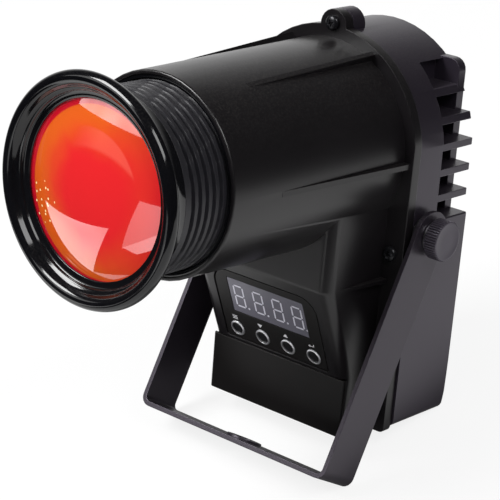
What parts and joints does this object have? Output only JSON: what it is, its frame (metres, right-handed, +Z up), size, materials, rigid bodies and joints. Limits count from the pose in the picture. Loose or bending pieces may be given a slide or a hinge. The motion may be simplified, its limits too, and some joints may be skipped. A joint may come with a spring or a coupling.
{
  "type": "pinspot light",
  "caption": "Black pinspot stage light with a screw-out lens ring, a finned rear housing, a sloped control panel with a display and buttons, and a U bracket with clamp knobs.",
  "frame": {"origin": "centre of the light's bounding box, on the surface that it stands on", "axes": "+Z up; -Y the side that the lens looks out of, with the lens axis raised 14.6 degrees as the light stands on its bracket's heel and its rear housing's bottom edge; +X along the bracket's pivot axis, to the right seen from the front"},
  "size_m": [0.1426, 0.2344, 0.2402],
  "materials": {
    "housing_plastic": "satin",
    "heat_sink": "satin black paint",
    "bezel_plastic": "gloss",
    "sleeve_plastic": "matte",
    "lens": "polished",
    "seal_rubber": "matte",
    "panel_plastic": "satin",
    "display_window": "gloss",
    "button_ring": "polished",
    "knob_plastic": "satin",
    "bracket_steel": "satin",
    "plated_steel": "satin",
    "black_steel": "satin",
    "brass": "satin",
    "component_plastic": "satin",
    "circuit_board": "satin",
    "metal_board": "matte",
    "emitter": "satin",
    "reflector_finish": "polished",
    "thermal_pad": "matte",
    "transformer": "satin"
  },
  "bodies": {
    "housing": {"front_housing": "housing_plastic", "rear_housing": "heat_sink", "lower_front_panel": "panel_plastic", "control_panel": "panel_plastic", "display_window": "display_window", "display_module": "component_plastic", "control_board": "circuit_board", "menu_button_ring": "button_ring", "down_button_ring": "button_ring", "up_button_ring": "button_ring", "enter_button_ring": "button_ring", "menu_switch": "component_plastic", "down_switch": "component_plastic", "up_switch": "component_plastic", "enter_switch": "component_plastic", "signal_input": "component_plastic", "signal_output": "component_plastic", "mains_inlet": "component_plastic", "fuse_holder": "component_plastic", "thermal_pad": "thermal_pad", "led_board": "metal_board", "led_emitter": "emitter", "reflector": "reflector_finish", "driver_board": "circuit_board", "driver_transformer": "transformer", "driver_capacitor": "component_plastic", "left_threaded_insert": "brass", "right_threaded_insert": "brass", "left_spacer": "seal_rubber", "right_spacer": "seal_rubber", "top_housing_screw": "black_steel", "left_housing_screw": "black_steel", "right_housing_screw": "black_steel", "lower_left_housing_screw": "black_steel", "lower_right_housing_screw": "black_steel"},
    "bracket": {"bracket": "bracket_steel"},
    "left_clamp_slide": {"left_knob_washer": "plated_steel"},
    "left_clamp": {"left_knob": "knob_plastic", "left_knob_stud": "plated_steel"},
    "right_clamp_slide": {"right_knob_washer": "plated_steel"},
    "right_clamp": {"right_knob": "knob_plastic", "right_knob_stud": "plated_steel"},
    "focus_carriage": {"front_lens": "lens", "lens_seal": "seal_rubber"},
    "focus_ring": {"lens_bezel": "bezel_plastic", "focus_sleeve": "sleeve_plastic", "lens_retainer": "sleeve_plastic"},
    "menu_button": {"menu_button": "knob_plastic"},
    "down_button": {"down_button": "knob_plastic"},
    "up_button": {"up_button": "knob_plastic"},
    "enter_button": {"enter_button": "knob_plastic"}
  },
  "joints": [
    {"name": "bracket_tilt", "type": "hinge", "parent": "housing", "child": "bracket", "pos_m": [0, 0.06022, 0.10633], "axis": [-1, 0, 0], "range_deg": [-242, 48]},
    {"name": "focus_travel", "type": "slide", "parent": "housing", "child": "focus_carriage", "axis": [0, -0.9676, 0.2525], "range_m": [-0.0225, 0.0045]},
    {"name": "focus_turn", "type": "hinge", "parent": "focus_carriage", "child": "focus_ring", "pos_m": [0, 0.0562, 0.14676], "axis": [0, -0.9676, 0.2525], "range_deg": [-1801, 361]},
    {"name": "left_clamp_travel", "type": "slide", "parent": "housing", "child": "left_clamp_slide", "axis": [-1, 0, 0], "range_m": [0, 0.002]},
    {"name": "left_knob_turn", "type": "hinge", "parent": "left_clamp_slide", "child": "left_clamp", "pos_m": [0, 0.06022, 0.10633], "axis": [-1, 0, 0], "range_deg": [0, 721]},
    {"name": "right_clamp_travel", "type": "slide", "parent": "housing", "child": "right_clamp_slide", "axis": [1, 0, 0], "range_m": [0, 0.002]},
    {"name": "right_knob_turn", "type": "hinge", "parent": "right_clamp_slide", "child": "right_clamp", "pos_m": [0, 0.06022, 0.10633], "axis": [1, 0, 0], "range_deg": [0, 721]},
    {"name": "menu_press", "type": "slide", "parent": "housing", "child": "menu_button", "axis": [0, 0.9904, 0.1382], "range_m": [0, 0.0006], "stiffness_N_per_m": 300},
    {"name": "down_press", "type": "slide", "parent": "housing", "child": "down_button", "axis": [0, 0.9904, 0.1382], "range_m": [0, 0.0006], "stiffness_N_per_m": 300},
    {"name": "up_press", "type": "slide", "parent": "housing", "child": "up_button", "axis": [0, 0.9904, 0.1382], "range_m": [0, 0.0006], "stiffness_N_per_m": 300},
    {"name": "enter_press", "type": "slide", "parent": "housing", "child": "enter_button", "axis": [0, 0.9904, 0.1382], "range_m": [0, 0.0006], "stiffness_N_per_m": 300}
  ],
  "couplings": [
    {"joint": "focus_turn", "follows": "focus_travel", "rad_per_m": 1396.3},
    {"joint": "left_knob_turn", "follows": "left_clamp_travel", "rad_per_m": 6283.2},
    {"joint": "right_knob_turn", "follows": "right_clamp_travel", "rad_per_m": 6283.2}
  ]
}
